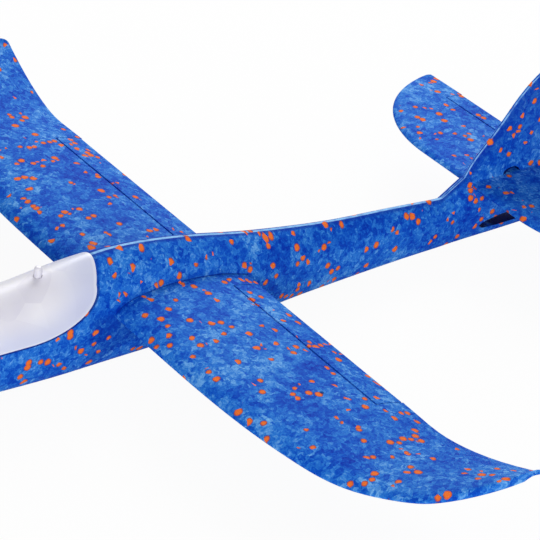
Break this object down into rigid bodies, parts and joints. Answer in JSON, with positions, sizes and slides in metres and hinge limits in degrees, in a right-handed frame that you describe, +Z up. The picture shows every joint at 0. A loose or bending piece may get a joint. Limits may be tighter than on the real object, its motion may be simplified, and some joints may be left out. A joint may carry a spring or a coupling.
{
  "type": "hand launch foam glider",
  "caption": "Moulded foam hand-throw glider with bendable ailerons and elevators, upswept wing tips, a two-height tailplane slot and a translucent light canopy with a push button.",
  "frame": {"origin": "on the ground under the middle of the overall box", "axes": "+X aft, from the nose to the tail; +Y to starboard; +Z up"},
  "size_m": [0.479, 0.474, 0.1265],
  "materials": {
    "blue_foam": "mottled moulded bead foam in blues, with small orange flecks",
    "canopy_plastic": "thin milky translucent moulding",
    "tray_plastic": "plain white moulding",
    "button_plastic": "milky white",
    "switch_plastic": "black",
    "weight_steel": "plain turned slug",
    "board_laminate": "green laminate",
    "screw_steel": "plated",
    "lamp_lens": "clear lamp bodies",
    "spring_steel": "bright wire",
    "cell_steel": "plated cans",
    "contact_brass": "pressed strip"
  },
  "bodies": {
    "airframe": {"battery_door": "tray_plastic", "battery_spring": "spring_steel", "board_screws": "screw_steel", "button_cells": "cell_steel", "button_spring": "spring_steel", "canopy_shell": "canopy_plastic", "canopy_tray": "tray_plastic", "circuit_board": "board_laminate", "door_screw": "screw_steel", "front_contact": "contact_brass", "fuselage": "blue_foam", "led_lamps": "lamp_lens", "nose_weight": "weight_steel", "rear_contact": "contact_brass", "switch_body": "switch_plastic", "tailplane_panel": "blue_foam", "wing_panel": "blue_foam"},
    "aileron_port": {"aileron_port": "blue_foam"},
    "aileron_starboard": {"aileron_starboard": "blue_foam"},
    "elevator_port": {"elevator_port": "blue_foam"},
    "elevator_starboard": {"elevator_starboard": "blue_foam"},
    "button": {"push_button": "button_plastic"}
  },
  "joints": [
    {"name": "aileron_port_hinge", "type": "hinge", "parent": "airframe", "child": "aileron_port", "pos_m": [-0.045, 0, 0.03627], "axis": [0, 1, 0], "range_deg": [-15, 15]},
    {"name": "aileron_starboard_hinge", "type": "hinge", "parent": "airframe", "child": "aileron_starboard", "pos_m": [-0.045, 0, 0.03627], "axis": [0, 1, 0], "range_deg": [-15, 15]},
    {"name": "elevator_port_hinge", "type": "hinge", "parent": "airframe", "child": "elevator_port", "pos_m": [0.2102, 0, 0.0404], "axis": [0, 1, 0], "range_deg": [-15, 15]},
    {"name": "elevator_starboard_hinge", "type": "hinge", "parent": "airframe", "child": "elevator_starboard", "pos_m": [0.2102, 0, 0.0404], "axis": [0, 1, 0], "range_deg": [-15, 15]},
    {"name": "button_press", "type": "slide", "parent": "airframe", "child": "button", "axis": [0, 0, -1], "range_m": [0, 0.0012], "stiffness_N_per_m": 400, "springref_m": -0.001, "deforming": ["button_spring"]}
  ]
}
